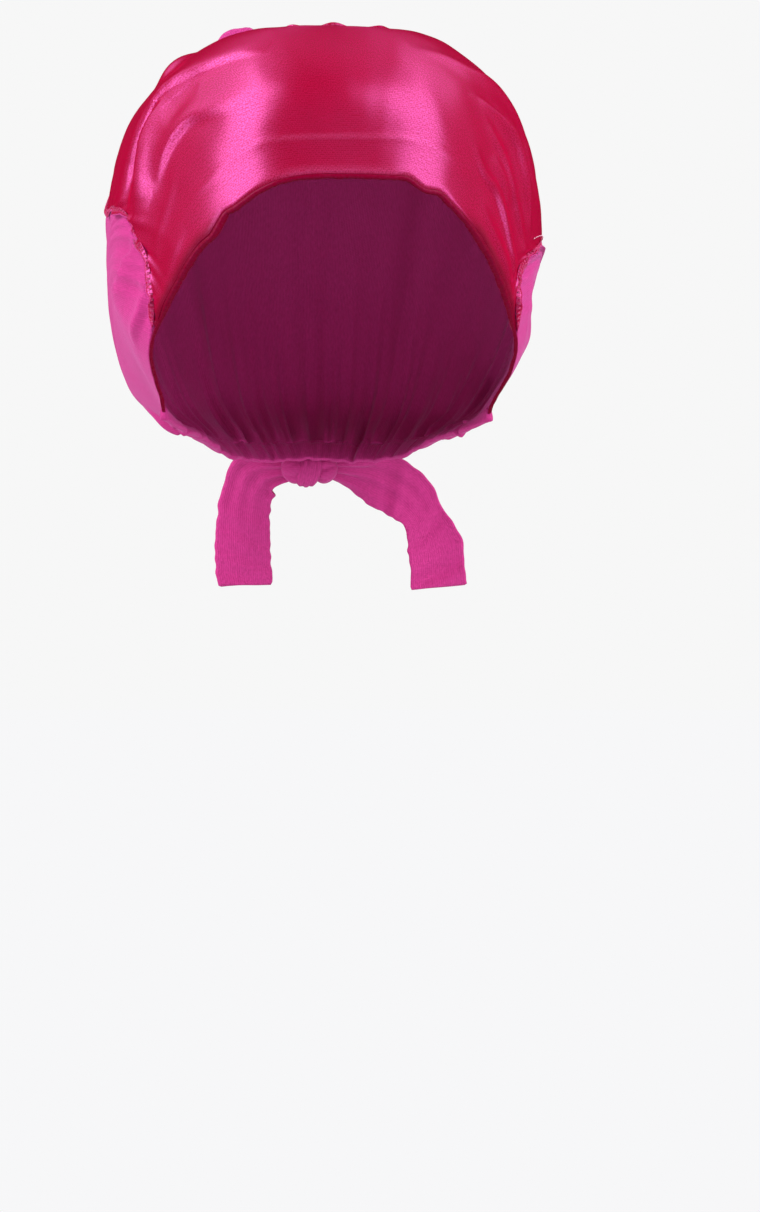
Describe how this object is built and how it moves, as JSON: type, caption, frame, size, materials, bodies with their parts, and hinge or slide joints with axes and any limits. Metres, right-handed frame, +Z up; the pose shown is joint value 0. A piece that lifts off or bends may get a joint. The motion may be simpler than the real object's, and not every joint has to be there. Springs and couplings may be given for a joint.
{
  "type": "tie-back satin underscarf",
  "caption": "Close cap worn under a headscarf: a satin front over the forehead, a jersey pouch gathered at the nape, and ties knotted behind.",
  "frame": {"origin": "where the top of the head touches the inside of the crown", "axes": "+Z up, -Y out through the face opening, +X towards the wearer's left"},
  "size_m": [0.1758, 0.2003, 0.2197],
  "materials": {
    "satin": "crimson polyester satin with a soft pink sheen",
    "jersey": "magenta knitted jersey, matt, with fine ribs",
    "thread": "overlocked edge of both cloths with polyester thread"
  },
  "bodies": {
    "root": {"front_panel": "satin", "back_panel": "jersey", "crown_seam": "thread", "face_binding": "satin", "nape_casing": "jersey", "tie_knot": "jersey", "tie_tail_left": "jersey", "tie_tail_right": "jersey"}
  },
  "joints": []
}
